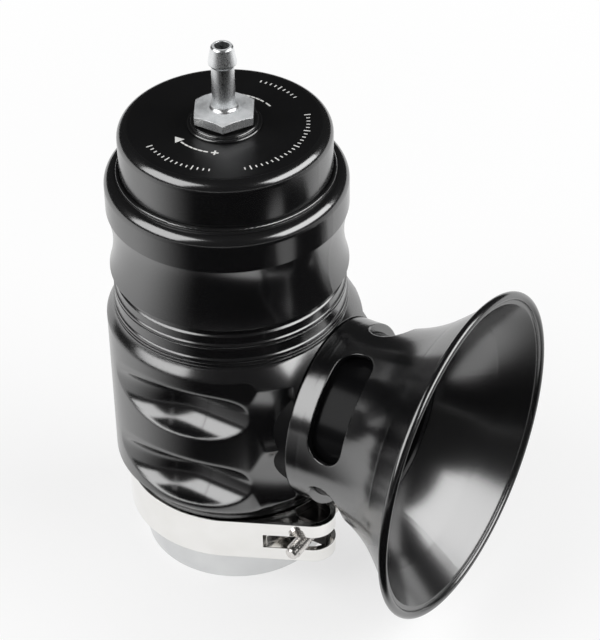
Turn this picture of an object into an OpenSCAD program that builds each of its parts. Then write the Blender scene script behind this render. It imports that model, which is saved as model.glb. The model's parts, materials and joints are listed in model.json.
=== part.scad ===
// Blow off valve with a slotted, flared trumpet on its side port.
// Millimetres. +Z runs up the valve's axis from the weld flange's lower face, +X along the trumpet.

/* [Weld flange] */
// Outer radius of the spigot
spigot_r = 27.9; // [27:0.1:28.2]
// Radius of the inlet bore through the flange
inlet_r = 25; // [23:0.5:25]
// Height of the joint between flange and body
joint_z = 18.5; // [17.5:0.1:19.5]

/* [Clamp] */
// Height of the band
band_h = 14; // [13:0.1:15]
// Depth of the band's lower edge below the joint
band_drop = 5.9; // [5.4:0.1:6.6]
// Outer radius of the band
band_r = 32.3; // [31.8:0.1:32.6]
// Sheet thickness of the band
band_t = 0.9; // [0.7:0.1:1.2]
// Turn of the clamp's opening from the trumpet's direction
clamp_turn = 0; // [0:0.5:15]
// Angle from the clamp's opening at which each lug leaves the band
lug_angle = 65; // [60:1:70]
// Distance of the eyes from the valve's axis, towards the clamp's opening
eye_x = 34; // [33.8:0.1:35]
// Half of the distance between the two eyes
eye_y = 12.5; // [12:0.1:13.5]
// Outer radius of an eye
eye_r = 6.6; // [6:0.1:7]
// Wall of an eye
eye_t = 1.6; // [1.2:0.1:1.8]
// Height of the window in the near lug
near_window_h = 4.8; // [4.7:0.1:6]
// Height of the window in the far lug, which passes the screw's head
far_window_h = 9; // [8.8:0.1:10]
// Radius of the clamp screw
bolt_r = 2.25; // [2:0.05:2.3]
// Length of the screw that stands out beyond the near eye's centre
bolt_end = 12.5; // [10:0.5:16]

/* [Body] */
// Radius of the ball that the body is turned to
ball_r = 42.9; // [42.5:0.1:43.2]
// Radius of the upright cylinder that the ball is milled to
body_r = 35.5; // [35:0.1:36]
// Half of the width between the flats beside the port
port_half = 26.8; // [26.4:0.1:27]
// Radius of the fillet between the cylinder and each flat
flat_fillet = 6; // [4:0.5:8]
// Face that the trumpet stands against
port_face_x = 33.2; // [33:0.1:33.3]
// Radius of the lip above the clamp
lip_r = 32; // [31.5:0.1:32.2]
// Gap between the clamp and that lip
lip_gap = 0.5; // [0.3:0.1:1]
// Height of that lip
lip_h = 1.5; // [1:0.1:3]
// Radius of the inlet hole inside the valve seat
seat_r = 24; // [23:0.1:24.5]
// Width of the ledge that the piston shuts on
seat_w = 2.5; // [2.2:0.1:2.8]
// Height of the valve seat above the joint
seat_h = 10.5; // [9.5:0.1:11.5]
// Radius of the side port's bore
port_r = 22; // [20:0.5:22.5]
// Radius of the thread that the collar screws on
thread_r = 31; // [30.6:0.1:31.2]
// Length of that thread
thread_h = 20.2; // [18:0.1:22]
// Height of the ringed neck between the ball and the collar
neck_h = 13.4; // [12:0.1:16]

/* [Scallops] */
// Radius of the ball cutter
cutter_r = 8; // [7.6:0.1:8.4]
// Height of the floor beside the port above the flat there
floor_gap = 0.3; // [0.2:0.05:0.6]
// Height of the upper scallop above the port's axis
scallop_rise = 11; // [10.5:0.1:11.5]
// Distance between the two scallops
scallop_pitch = 25.2; // [24.5:0.1:25.6]
// Radius of the floor where the tail wraps the body
wrap_r = 24; // [23.5:0.1:24.5]
// Distance of the tail's centre behind the valve's axis
wrap_back = 10.7; // [10.4:0.1:11]
// Distance of the tail's centre to the side of the valve's axis
wrap_side = 7; // [6.8:0.1:7.2]
// Radius of the turn between the tail and the floor beside the port
turn_r = 20; // [18:0.5:22]
// Radius of the larger cutter that eases a scallop's upper edge
ease_r = 30; // [25:1:35]
// Depth of the eased edge at its middle
ease_depth = 1; // [0.8:0.1:1.2]
// Height of the eased edge's middle above the port's axis
ease_rise = 12.8; // [12:0.1:13.5]

/* [Collar and cap] */
// Height of the collar
collar_h = 30.8; // [28:0.1:34]
// Radius of the collar's bead
collar_r = 33.65; // [33:0.05:34]
// Radius at the collar's waist
waist_r = 32.15; // [31.8:0.05:32.6]
// Height of the waist above the collar's lower edge
waist_h = 10.3; // [9:0.1:12]
// Radius of the curve of the waist
waist_curve = 33.2; // [30:0.1:40]
// Radius of the round on the collar's upper edge
collar_round = 3.3; // [2.5:0.1:4]
// Radius of the cap
cap_r = 29.3; // [29:0.1:29.6]
// Height of the cap above the thread
cap_h = 25.1; // [23:0.1:28]
// Radius of the round on the cap's edge
cap_round = 3.2; // [2.5:0.1:4]
// Radius of the room inside the cap
cap_room_r = 23.5; // [23:0.1:24]

/* [Adjuster and fitting] */
// Radius of the adjuster's lower step
knob_r = 10.3; // [9.8:0.1:10.8]
// Radius of the spindle in the cap
spindle_r = 7.92; // [7.8:0.01:7.95]
// Radius of the spindle's thread in the spring seat
screw_r = 7; // [6.5:0.1:7]
// Width of the hexagon across its flats
hex_af = 15.8; // [15:0.1:16]
// Thickness of the hexagon
hex_h = 2.65; // [2.2:0.05:4]
// Radius of the hose tube
tube_r = 3.12; // [2.9:0.01:3.3]
// Largest radius of the hose barb
barb_r = 3.87; // [3.6:0.01:4.1]
// Length of the hose barb above the hexagon
barb_l = 19.25; // [15:0.25:25]
// Radius of the hole through the fitting
vent_r = 2.05; // [1.5:0.05:2.2]

/* [Trumpet] */
// Outer radius of the sleeve
sleeve_r = 27; // [26.8:0.1:27.4]
// Length of the sleeve before the flare
sleeve_l = 3.8; // [3:0.1:5]
// Radius of the flare's curve
flare_curve = 43; // [41:0.5:45]
// Angle of the flare's cone
flare_angle = 42; // [40:0.5:43]
// Wall thickness of the flare
flare_t = 1.6; // [1.4:0.1:2]
// Radius of the rim's centre line
rim_r = 46.95; // [46.6:0.05:47.3]
// Radius of the rolled rim
bead_r = 1.25; // [1:0.05:1.5]
// Radius of the body's nozzle, which the sleeve sits on and which ends past the slots
port_spigot_r = 24.4; // [24:0.1:24.6]
// Number of slots
slot_count = 4; // [3:1:4]
// Distance from the sleeve's end to the slots
slot_start = 6.4; // [6.2:0.1:8]
// Width of the slots
slot_w = 11.7; // [9:0.1:13]
// Angle from one end of a slot to the other
slot_span = 70; // [50:1:72]

/* [Piston and spring] */
// Gap between sliding faces
slide_gap = 0.08; // [0.05:0.01:0.1]
// Lift of the piston
lift = 18; // [14:0.5:20]
// Thickness of the piston's floor
piston_floor = 7; // [5:0.5:8]
// Wire radius of the spring
wire_r = 2.1; // [1.8:0.1:2.4]
// Mean radius of the spring
coil_r = 15.5; // [14:0.5:16.5]
// Active turns of the spring
coil_turns = 6; // [5:1:7]
// Depth of the spring seat's plate below the cap's roof
seat_drop = 10; // [8:0.5:12]

/* [Hidden] */
$fn = 96;

// Overlap that keeps two faces from meeting exactly edge to edge
blend = 0.02;
// Gap between faces that rest on each other
hair = 0.05;
// Length by which a cut runs past the face it opens
over = 1;
// Length that runs through the whole valve
through = 60;

black = [0.05, 0.05, 0.055];
silver = [0.8, 0.8, 0.8];
steel = [0.72, 0.72, 0.7];
rubber = [0.08, 0.08, 0.08];
ptfe = [0.85, 0.82, 0.75];

// Clamp: sheet, windows in the straps, barrels and screw
band_z0 = joint_z - band_drop;
band_z1 = band_z0 + band_h;
band_in_r = band_r - band_t;
band_gap = 12.6;
eye_in_r = eye_r - eye_t;
window_back = 10;
window_side = 7.5;
window_rim = 0.5;
bolt_z = (band_z0 + band_z1) / 2;
barrel_cut = 1;
barrel_half_h = 4;
barrel_play = 0.2;
bolt_head_r = 4.2;
bolt_head_h = 5;
bolt_chamfer = 0.5;
bolt_tip = 0.8;
bolt_socket_r = 2.3;
bolt_socket_d = 2.5;

// Flange lips, which mirror each other about the joint, and the V segments that squeeze them
segment_wall = 1.4;
lip_edge_r = band_in_r - segment_wall;
lip_edge_h = 1.5;
lip_bevel_h = 2.1;
lip_bevel_w = 1.7;
lip_neck_r = lip_edge_r - lip_bevel_w;
groove_in = 2.7;
groove_mid_r = lip_edge_r - groove_in;
groove_w = 2.2;
groove_d = 1.5;
segment_count = 3;
segment_span = 106;
segment_space = 7.4;
segment_start = clamp_turn + 180 - (segment_count * segment_span + (segment_count - 1) * segment_space) / 2;
segment_half_h = 4.8;
v_gap = 0.3;
v_in_r = lip_neck_r + v_gap;
v_in_z = lip_edge_h + lip_bevel_h * (lip_edge_r - v_in_r) / (lip_edge_r - lip_neck_r);

// Body: ball, flats, neck rings, foot and port
lip_z = band_z1 + lip_gap;
ball_lower_z = lip_z + lip_h;
port_z = ball_lower_z + sqrt(ball_r * ball_r - lip_r * lip_r);
seat_z = joint_z + seat_h;
chamber_r = seat_r + seat_w;
neck_steps = [2.3, 1.9, 1.5, 1];
neck_radii = [for (step = neck_steps) thread_r + step];
neck_r = neck_radii[0];
neck_z = port_z + sqrt(ball_r * ball_r - neck_r * neck_r);
fillet_y = port_half + flat_fillet;
fillet_x = sqrt(pow(body_r + flat_fillet, 2) - pow(fillet_y, 2));
core_t = 2;
core_r = seat_r - core_t;
sink = 2;
sink_h = 4;
neck_tops = [3.1, 7.9, 10.7];
neck_chamfer = 0.5;
neck_groove = 0.4;
neck_grooves = [[0, 0.8], [0, 1.9], [1, 6.8]];
collar_gap = 0.2;
foot_chamfer = 0.3;
sleeve_gap = 0.5;
sleeve_x = port_face_x + sleeve_gap;
port_groove_in = 1.8;
port_groove_x = sleeve_x + port_groove_in;
port_groove_w = 1.8;
port_seal_r = 0.6;

// Scallops: the ball's centre comes in round the tail's centre, turns and runs straight on past the port
wrap_path_r = wrap_r + cutter_r;
wrap_start = atan2(wrap_side, wrap_back) - 180;
path_y = port_half + floor_gap + cutter_r;
turn_y = path_y + turn_r;
turn_reach = wrap_path_r + turn_r;
turn_angle = acos((turn_y - wrap_side) / turn_reach);
turn_x = turn_reach * sin(turn_angle) - wrap_back;
turn_lap = 1;
turn_step = 0.05;
ease_angle = 87;
ease_span = 100;
ease_offset = 5;

// Collar
collar_z0 = neck_z + neck_h;
collar_z1 = collar_z0 + collar_h;
waist_z = collar_z0 + waist_h;
thread_top = collar_z0 + thread_h;
collar_chamfer = 0.8;
collar_lip_h = 1;
lip_top = collar_z1 + collar_lip_h;
cap_gap = 0.1;
lip_in_r = cap_r + cap_gap;
lip_w = 0.9;
lip_round = 0.45;

// Cap
cap_flange_r = thread_r - cap_gap;
cap_flange_h = 3.2;
cap_flange_z = thread_top;
cap_tail_h = 4.8;
cap_z1 = cap_flange_z + cap_h;
cap_roof_t = 4.9;
cap_roof_z = cap_z1 - cap_roof_t;
cap_seal_r = 0.7;
cap_groove_w = 2;
cap_groove_drop = 3.4;
cap_groove_z = cap_flange_z - cap_groove_drop;
key_w = 4.6;
key_d = 1.7;
key_r = cap_room_r + key_d;
key_foot = 0.2;
key_z0 = cap_flange_z + key_foot;
key_head = 1;
key_z1 = cap_roof_z - key_head;

// Adjuster
knob_z0 = cap_z1 + hair;
knob_lower_h = 0.75;
knob_z1 = knob_z0 + knob_lower_h;
knob_step = 0.95;
knob_upper_r = knob_r - knob_step;
knob_h = 1.45;
knob_z2 = knob_z0 + knob_h;
knob_round = 0.55;
spindle_tail = 2;
spindle_z0 = cap_roof_z - spindle_tail;
spindle_seal_r = 0.6;
spindle_groove_up = 2;
spindle_groove_z = cap_roof_z + spindle_groove_up;
spindle_groove_w = 1.8;
clip_t = 0.8;
clip_d = 0.8;
clip_w = 2.4;
clip_gap = 3;
washer_t = 0.7;
washer_r = 12;
clip_z = cap_roof_z - washer_t - clip_t - 2 * hair;
socket_r = 4;
socket_z0 = cap_roof_z;

// Fitting
fitting_seal_t = 0.8;
hex_z0 = knob_z2 + fitting_seal_t;
hex_z1 = hex_z0 + hex_h;
barb_top = hex_z1 + barb_l;
hex_chamfer = 0.55;
hex_face_out = 0.2;
hex_face_r = hex_af / 2 + hex_face_out;
hex_corner_out = 1.4;
hex_corner_r = hex_af / 2 + hex_corner_out;
tube_flare = 1.6;
barb_nose = 5;
barb_z = barb_top - barb_nose;
barb_edge = 0.15;
barb_lip_r = 3.05;
barb_chamfer = 0.4;
stem_gap = 0.5;
fitting_seal_r = 7.2;

// Trumpet: the flare's cone runs out to the rim, whose bead stands a little outside it
flare_x = sleeve_x + sleeve_l;
flare_centre = [sleeve_r + flare_curve, flare_x];
flare_out = [-cos(flare_angle), sin(flare_angle)];
bead_out = 0.17;
cone_x = flare_x + flare_curve * sin(flare_angle);
cone_r = sleeve_r + flare_curve * (1 - cos(flare_angle));
rim_x = cone_x + (rim_r - bead_out - cone_r) / tan(flare_angle);
slot_x0 = sleeve_x + slot_start;
slot_x1 = slot_x0 + slot_w;
slot_reach_in = 7;
slot_in_r = sleeve_r - slot_reach_in;
slot_reach_out = 9;
slot_out_r = sleeve_r + slot_reach_out;
seat_lap = 1;
sleeve_seat_x = slot_x0 + seat_lap;
nozzle_lap = 1.5;
nozzle_x = slot_x1 + nozzle_lap;

// Piston
piston_r = chamber_r - slide_gap;
piston_z0 = seat_z + hair;
lift_room = 0.95;
piston_h = cap_flange_z - cap_tail_h - lift - lift_room - piston_z0;
skirt_t = 3.9;
piston_in_r = piston_r - skirt_t;
face_seal_in = 0.4;
face_seal_in_r = seat_r + face_seal_in;
face_seal_rim = 0.8;
face_seal_out_r = piston_r - face_seal_rim;
face_seal_h = 1.5;
seal_h = 3;
seal_d = 2;
wear_h = 5;
ring_land = 1.5;
wear_z = piston_z0 + piston_h - ring_land - wear_h;
seal_z = wear_z - ring_land - seal_h;
wear_d = 1.5;
wear_split = 1;

// Spring and its seat
seat_plate_z = cap_roof_z - seat_drop;
screw_reach = 16;
screw_z0 = seat_plate_z - screw_reach;
spring_z0 = piston_z0 + piston_floor + hair;
spring_z1 = seat_plate_z - hair;
end_turns = 1;
steps_per_turn = 24;
wire_sides = 8;
hub_r = 11;
hub_drop = 6;
plate_h = 4;
plate_gap = 1;
plate_r = cap_room_r - plate_gap;
key_play = 0.3;
bleed_count = 6;
bleed_r = 2;
bleed_mid_r = (hub_r + plate_r) / 2;

// Flat ring section between two radii and two heights
module ring_section(r_in, r_out, z0, z1) {
    translate([r_in, z0]) square([r_out - r_in, z1 - z0]);
}

// Flat ring section with a round on its upper outer corner
module round_section(r_in, r_out, z0, z1, corner) {
    lap = [(r_out - corner - r_in) / 2, (z1 - corner - z0) / 2];
    ring_section(r_in, r_out - corner, z0, z1);
    ring_section(r_in, r_out, z0, z1 - corner);
    translate([r_out - corner, z1 - corner]) intersection() {
        circle(r = corner);
        translate(-lap) square(lap + [corner + over, corner + over]);
    }
}

// Plain washer or sleeve about the valve's axis
module ring(r_in, r_out, z0, z1) {
    rotate_extrude() ring_section(r_in, r_out, z0, z1);
}

// O-ring about the valve's axis
module oring(mid_r, section_r, z) {
    translate([0, 0, z]) rotate_extrude() translate([mid_r, 0]) circle(r = section_r);
}

// Puts children that stand along Z onto the side port's axis
module on_port() {
    translate([0, 0, port_z]) rotate([0, 90, 0]) children();
}

// Shape and its mirror image across the plane through both axes
module both_sides() {
    children();
    mirror([0, 1, 0]) children();
}

module weld_flange() {
    bevel_z = joint_z - lip_edge_h - lip_bevel_h;
    color(silver) rotate_extrude() difference() {
        polygon([
            [inlet_r, 0], [spigot_r, 0], [spigot_r, bevel_z], [lip_neck_r, bevel_z],
            [lip_edge_r, joint_z - lip_edge_h], [lip_edge_r, joint_z], [inlet_r, joint_z]
        ]);
        translate([groove_mid_r - groove_w / 2, joint_z - groove_d]) square([groove_w, groove_d + over]);
    }
}

module flange_oring() {
    color(rubber) oring(groove_mid_r, groove_d / 2, joint_z - groove_d / 2);
}

// Plan of one lug: a tangent from the band to the round end, with the eye's hole through it
module lug_plan() {
    eye = [eye_x, -eye_y];
    out = [cos(lug_angle), -sin(lug_angle)];
    difference() {
        union() {
            translate(eye) circle(r = eye_r);
            polygon([
                (eye * out + eye_r - blend) * out, eye + (eye_r - blend) * out, eye, band_in_r * eye / norm(eye)
            ]);
        }
        translate(eye) circle(r = eye_in_r);
        circle(r = band_in_r + blend);
    }
}

// Plan of the ring of the band, open between the lugs
module ring_plan() {
    gap_x = band_r + through;
    gap_y = gap_x * tan(band_gap);
    difference() {
        circle(r = band_r);
        circle(r = band_in_r);
        polygon([[0, 0], [gap_x, -gap_y], [gap_x, gap_y]]);
    }
}

// Sheet standing on edge across the height of the band
module band_sheet() {
    translate([0, 0, band_z0]) linear_extrude(height = band_z1 - band_z0) children();
}

// Window in the near lug that the screw passes through
module lug_window(height) {
    translate([0, 0, bolt_z - height / 2]) linear_extrude(height = height) difference() {
        translate([eye_x - window_back, -band_r]) square([through, band_r - eye_y + window_side]);
        circle(r = band_r + window_rim);
    }
}

module clamp_band() {
    color(silver) rotate([0, 0, clamp_turn]) difference() {
        union() {
            band_sheet() ring_plan();
            both_sides() band_sheet() lug_plan();
        }
        lug_window(near_window_h);
        mirror([0, 1, 0]) lug_window(far_window_h);
        translate([eye_x, 0, bolt_z]) rotate([90, 0, 0])
            cylinder(r = bolt_r + barrel_play, h = through, center = true);
    }
}

module clamp_v_segments() {
    color(silver) for (i = [0 : segment_count - 1])
        rotate([0, 0, segment_start + i * (segment_span + segment_space)])
            rotate_extrude(angle = segment_span) translate([0, joint_z]) polygon([
                [band_in_r, segment_half_h], [band_in_r, -segment_half_h], [v_in_r, -segment_half_h],
                [v_in_r, -v_in_z], [lip_edge_r, -lip_edge_h], [lip_edge_r, lip_edge_h],
                [v_in_r, v_in_z], [v_in_r, segment_half_h]
            ]);
}

// Half-barrel in the near eye, drilled along Y for the screw
module barrel(hole_r) {
    difference() {
        translate([eye_x, -eye_y, bolt_z - barrel_half_h]) cylinder(r = eye_in_r, h = 2 * barrel_half_h);
        translate([eye_x - eye_r, -eye_y - eye_r - barrel_cut, bolt_z - barrel_half_h - over])
            cube([2 * eye_r, eye_r, 2 * (barrel_half_h + over)]);
        cylinder(r = band_r + hair, h = through);
        translate([eye_x, 0, bolt_z]) rotate([90, 0, 0]) cylinder(r = hole_r, h = through);
    }
}

module clamp_barrel_nut() {
    color(steel) rotate([0, 0, clamp_turn]) barrel(bolt_r);
}

module clamp_plain_barrel() {
    color(steel) rotate([0, 0, clamp_turn]) mirror([0, 1, 0]) barrel(bolt_r + barrel_play);
}

module clamp_bolt() {
    head_y = eye_y + barrel_cut;
    bolt_l = head_y + eye_y + bolt_end;
    color(steel) rotate([0, 0, clamp_turn]) translate([eye_x, head_y, bolt_z]) rotate([90, 0, 0]) difference() {
        rotate_extrude() polygon([
            [0, -bolt_head_h], [bolt_head_r - bolt_chamfer, -bolt_head_h],
            [bolt_head_r, bolt_chamfer - bolt_head_h], [bolt_head_r, 0], [bolt_r, 0],
            [bolt_r, bolt_l - bolt_tip], [bolt_r - bolt_tip, bolt_l], [0, bolt_l]
        ]);
        translate([0, 0, -bolt_head_h - over])
            cylinder(r = bolt_socket_r, h = bolt_socket_d + over, $fn = 6);
    }
}

// Plan of the body: the upright cylinder, the flats beside the port, a fillet at each flat and the port's face
module body_plan() {
    difference() {
        union() {
            circle(r = body_r);
            translate([0, -port_half]) square([body_r, 2 * port_half]);
        }
        translate([port_face_x, -through]) square(2 * through);
    }
    both_sides() difference() {
        polygon([
            [0, 0], [body_r * fillet_x / (body_r + flat_fillet), -body_r * fillet_y / (body_r + flat_fillet)],
            [fillet_x, -fillet_y], [fillet_x, -port_half]
        ]);
        translate([fillet_x, -fillet_y]) circle(r = flat_fillet + blend);
    }
}

// Outer profile of the neck: rings with a chamfer above each and fine grooves between, then the thread
module neck_profile() {
    seat_top = collar_z0 - collar_gap;
    last = len(neck_tops);
    difference() {
        polygon(concat(
            [[core_r, neck_z - sink_h], [neck_r - sink, neck_z - sink_h], [neck_r, neck_z]],
            [for (i = [0 : last - 1], k = [0, 1]) [neck_radii[i + k], neck_z + neck_tops[i] + k * neck_chamfer]],
            [[neck_radii[last], seat_top], [thread_r, seat_top], [thread_r, thread_top], [core_r, thread_top]]
        ));
        for (g = neck_grooves) translate([neck_radii[g[0]] - neck_groove, neck_z + g[1]])
            square([over, neck_groove]);
    }
}

// Outer profile below the ball: lip over the clamp, then the flange lip
module foot_profile() {
    bevel_z = joint_z + lip_edge_h + lip_bevel_h;
    polygon([
        [core_r, joint_z], [lip_edge_r, joint_z], [lip_edge_r, joint_z + lip_edge_h],
        [lip_neck_r, bevel_z], [lip_neck_r, lip_z], [lip_r - foot_chamfer, lip_z],
        [lip_r, lip_z + foot_chamfer], [lip_r, ball_lower_z],
        [lip_r - sink, ball_lower_z + sink_h], [core_r, ball_lower_z + sink_h]
    ]);
}

// Path of the ball cutter through one scallop on the near side
module scallop(z) {
    translate([turn_x - hair, -path_y, z]) rotate([0, 90, 0]) cylinder(r = cutter_r, h = through);
    translate([turn_x, -turn_y, z]) rotate([0, 0, 90 - turn_lap])
        rotate_extrude(angle = turn_angle + 2 * turn_lap) translate([turn_r, 0]) circle(r = cutter_r - turn_step);
    translate([-wrap_back, -wrap_side, z]) rotate([0, 0, wrap_start])
        rotate_extrude(angle = turn_angle - 90 - wrap_start) translate([wrap_path_r, 0]) circle(r = cutter_r);
}

// Shallow pass of a larger cutter along the upper edge of one scallop on the near side
module eased_edge(z) {
    rotate([0, 0, -ease_angle]) translate([-ease_offset, 0, z]) rotate([0, 0, -ease_span / 2])
        rotate_extrude(angle = ease_span)
            translate([body_r - ease_depth + ease_offset + ease_r, 0]) circle(r = ease_r);
}

module valve_body() {
    color(black) difference() {
        union() {
            intersection() {
                translate([0, 0, port_z]) sphere(r = ball_r);
                translate([0, 0, ball_lower_z]) linear_extrude(height = neck_z - ball_lower_z) body_plan();
            }
            rotate_extrude() neck_profile();
            rotate_extrude() foot_profile();
            on_port() cylinder(r = port_spigot_r, h = nozzle_x);
        }
        both_sides() for (drop = [0, scallop_pitch]) {
            scallop(port_z + scallop_rise - drop);
            eased_edge(port_z + ease_rise - drop);
        }
        translate([0, 0, seat_z]) cylinder(r = chamber_r, h = thread_top);
        cylinder(r = seat_r, h = seat_z + over);
        on_port() cylinder(r = port_r, h = nozzle_x + over);
        on_port() ring(port_spigot_r - 2 * port_seal_r, port_spigot_r + over,
            port_groove_x, port_groove_x + port_groove_w);
    }
}

module retaining_collar() {
    color(black) rotate_extrude() difference() {
        union() {
            round_section(lip_in_r, collar_r, collar_z0, collar_z1, collar_round);
            round_section(lip_in_r, lip_in_r + lip_w, collar_z0, lip_top, lip_round);
        }
        translate([waist_r + waist_curve, waist_z]) circle(r = waist_curve);
        ring_section(0, thread_r, collar_z0 - over, cap_flange_z + cap_flange_h);
        translate([collar_r, collar_z0]) rotate(45) square(collar_chamfer, center = true);
    }
}

module cap() {
    color(black) difference() {
        rotate_extrude() difference() {
            union() {
                ring_section(0, cap_flange_r, cap_flange_z, cap_flange_z + cap_flange_h);
                ring_section(0, chamber_r - hair, cap_flange_z - cap_tail_h, cap_flange_z);
                round_section(0, cap_r, cap_flange_z, cap_z1, cap_round);
            }
            ring_section(0, cap_room_r, cap_flange_z - cap_tail_h - over, cap_roof_z);
            ring_section(0, spindle_r + slide_gap, cap_roof_z - over, cap_z1 + over);
            ring_section(chamber_r - 2 * cap_seal_r, chamber_r, cap_groove_z, cap_groove_z + cap_groove_w);
        }
        for (turn = [0, 180]) rotate([0, 0, turn]) translate([0, -key_w / 2, key_z0])
            cube([key_r, key_w, key_z1 - key_z0]);
    }
}

module cap_oring() {
    color(rubber) oring(chamber_r - cap_seal_r, cap_seal_r, cap_groove_z + cap_groove_w / 2);
}

module adjuster() {
    color(black) rotate_extrude() difference() {
        union() {
            round_section(0, knob_r, knob_z0, knob_z1, knob_round);
            round_section(0, knob_upper_r, knob_z0, knob_z2, knob_round);
            ring_section(0, spindle_r, spindle_z0, knob_z1);
            ring_section(0, screw_r, screw_z0, knob_z0);
        }
        ring_section(0, vent_r, screw_z0 - over, knob_z2);
        ring_section(0, socket_r, socket_z0, knob_z2 + over);
        ring_section(spindle_r - 2 * spindle_seal_r, spindle_r + over,
            spindle_groove_z, spindle_groove_z + spindle_groove_w);
        ring_section(spindle_r - clip_d, spindle_r + over, clip_z, clip_z + clip_t);
    }
}

module adjuster_oring() {
    color(rubber) oring(spindle_r - spindle_seal_r, spindle_seal_r, spindle_groove_z + spindle_groove_w / 2);
}

module thrust_washer() {
    color(ptfe) ring(spindle_r, washer_r, clip_z + clip_t, clip_z + clip_t + washer_t);
}

module adjuster_circlip() {
    clip_in_r = spindle_r - clip_d;
    color(steel) difference() {
        ring(clip_in_r, clip_in_r + clip_w, clip_z, clip_z + clip_t);
        translate([0, -clip_gap / 2, clip_z - over]) cube([washer_r, clip_gap, clip_t + 2 * over]);
    }
}

module barb_fitting() {
    color(steel) difference() {
        union() {
            intersection() {
                translate([0, 0, hex_z0]) cylinder(d = hex_af / cos(30), h = hex_z1 - hex_z0, $fn = 6);
                rotate_extrude() polygon([
                    [0, hex_z0], [hex_corner_r, hex_z0], [hex_corner_r, hex_z1 - hex_chamfer],
                    [hex_face_r, hex_z1], [0, hex_z1]
                ]);
            }
            rotate_extrude() difference() {
                union() {
                    ring_section(0, tube_r, hex_z1 - over, barb_z);
                    ring_section(0, tube_r + tube_flare, hex_z1 - over, hex_z1 + tube_flare);
                }
                translate([tube_r + tube_flare, hex_z1 + tube_flare]) circle(r = tube_flare);
            }
            rotate_extrude() polygon([
                [0, barb_z - over], [tube_r, barb_z - over], [barb_r, barb_z - barb_edge],
                [barb_r, barb_z + barb_edge], [barb_lip_r, barb_top - barb_chamfer],
                [barb_lip_r - barb_chamfer, barb_top], [0, barb_top]
            ]);
            translate([0, 0, socket_z0 + stem_gap]) cylinder(r = socket_r, h = hex_z0 - socket_z0);
        }
        translate([0, 0, socket_z0]) cylinder(r = vent_r, h = through);
    }
}

module fitting_seal() {
    color(rubber) ring(socket_r, fitting_seal_r, knob_z2, hex_z0);
}

// Area between the axis and the flare's face that lies a depth below its outer face
module flare_area(depth) {
    curve_r = flare_curve + depth;
    along = [sin(flare_angle), cos(flare_angle)];
    cone_start = flare_centre + curve_r * flare_out;
    cone_end = cone_start + along * (rim_x - cone_start[1]) / cos(flare_angle);
    difference() {
        polygon([[0, sleeve_x], [sleeve_r - depth, sleeve_x], [sleeve_r - depth, flare_x],
            cone_start, cone_end, [0, rim_x]]);
        translate(flare_centre) circle(r = curve_r - blend);
    }
}

module trumpet_section() {
    difference() {
        flare_area(0);
        difference() {
            flare_area(flare_t);
            ring_section(port_spigot_r, sleeve_r, sleeve_x - over, sleeve_seat_x);
        }
        ring_section(0, port_spigot_r, sleeve_x - over, sleeve_seat_x + over);
    }
    translate([rim_r, rim_x]) circle(r = bead_r);
}

// Long slot with round ends, cut through the wall
module trumpet_slot() {
    end_r = (slot_x1 - slot_x0) / 2;
    mid_x = (slot_x0 + slot_x1) / 2;
    sweep = slot_span - 2 * asin(end_r / (sleeve_r + over));
    rotate(-sweep / 2) rotate_extrude(angle = sweep) ring_section(slot_in_r, slot_out_r, slot_x0, slot_x1);
    for (side = [-1, 1]) rotate(side * sweep / 2) translate([slot_in_r - over, 0, mid_x]) rotate([0, 90, 0])
        cylinder(r = end_r - blend, h = slot_out_r - slot_in_r + 2 * over);
}

module trumpet() {
    color(black) on_port() difference() {
        rotate_extrude() trumpet_section();
        for (i = [0 : slot_count - 1]) rotate(45 + i * 360 / slot_count) trumpet_slot();
    }
}

module trumpet_oring() {
    groove_mid_x = port_groove_x + port_groove_w / 2;
    color(rubber) on_port() oring(port_spigot_r - port_seal_r, port_seal_r, groove_mid_x);
}

module piston() {
    color(silver) rotate_extrude() difference() {
        ring_section(0, piston_r, piston_z0, piston_z0 + piston_h);
        ring_section(0, piston_in_r, piston_z0 + piston_floor, piston_z0 + piston_h + over);
        ring_section(face_seal_in_r, face_seal_out_r, piston_z0 - over, piston_z0 + face_seal_h);
        ring_section(piston_r - seal_d, piston_r + over, seal_z, seal_z + seal_h);
        ring_section(piston_r - wear_d, piston_r + over, wear_z, wear_z + wear_h);
    }
}

module piston_seat_seal() {
    color(rubber) ring(face_seal_in_r, face_seal_out_r, piston_z0, piston_z0 + face_seal_h);
}

module piston_seal() {
    color(rubber) ring(piston_r - seal_d, piston_r, seal_z, seal_z + seal_h);
}

module piston_wear_ring() {
    color(ptfe) difference() {
        ring(piston_r - wear_d, piston_r, wear_z, wear_z + wear_h);
        translate([0, -wear_split / 2, wear_z - over]) cube([through, wear_split, wear_h + 2 * over]);
    }
}

// Height of the wire's centre after a number of turns: closed end turns, open turns between
function coil_height(turn) =
    let (closed = 2 * wire_r)
    let (open_h = spring_z1 - spring_z0 - 2 * wire_r - 2 * end_turns * closed)
    let (low = min(turn, end_turns), high = max(turn - end_turns - coil_turns, 0))
    let (middle = min(max(turn - end_turns, 0), coil_turns))
    spring_z0 + wire_r + closed * (low + high) + open_h * middle / coil_turns;

module main_spring() {
    rings = (coil_turns + 2 * end_turns) * steps_per_turn;
    points = [
        for (i = [0 : rings], j = [0 : wire_sides - 1])
            let (angle = 360 * i / steps_per_turn, side = 360 * (j + 0.5) / wire_sides)
            let (r = coil_r + wire_r * cos(side), z = coil_height(i / steps_per_turn) + wire_r * sin(side))
            [r * cos(angle), r * sin(angle), z]
    ];
    walls = [
        for (i = [0 : rings - 1], j = [0 : wire_sides - 1])
            let (k = (j + 1) % wire_sides, a = i * wire_sides, b = a + wire_sides)
            [a + j, a + k, b + k, b + j]
    ];
    start = [for (j = [wire_sides - 1 : -1 : 0]) j];
    finish = [for (j = [0 : wire_sides - 1]) rings * wire_sides + j];
    color(steel) polyhedron(points = points, faces = concat(walls, [start, finish]));
}

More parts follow.
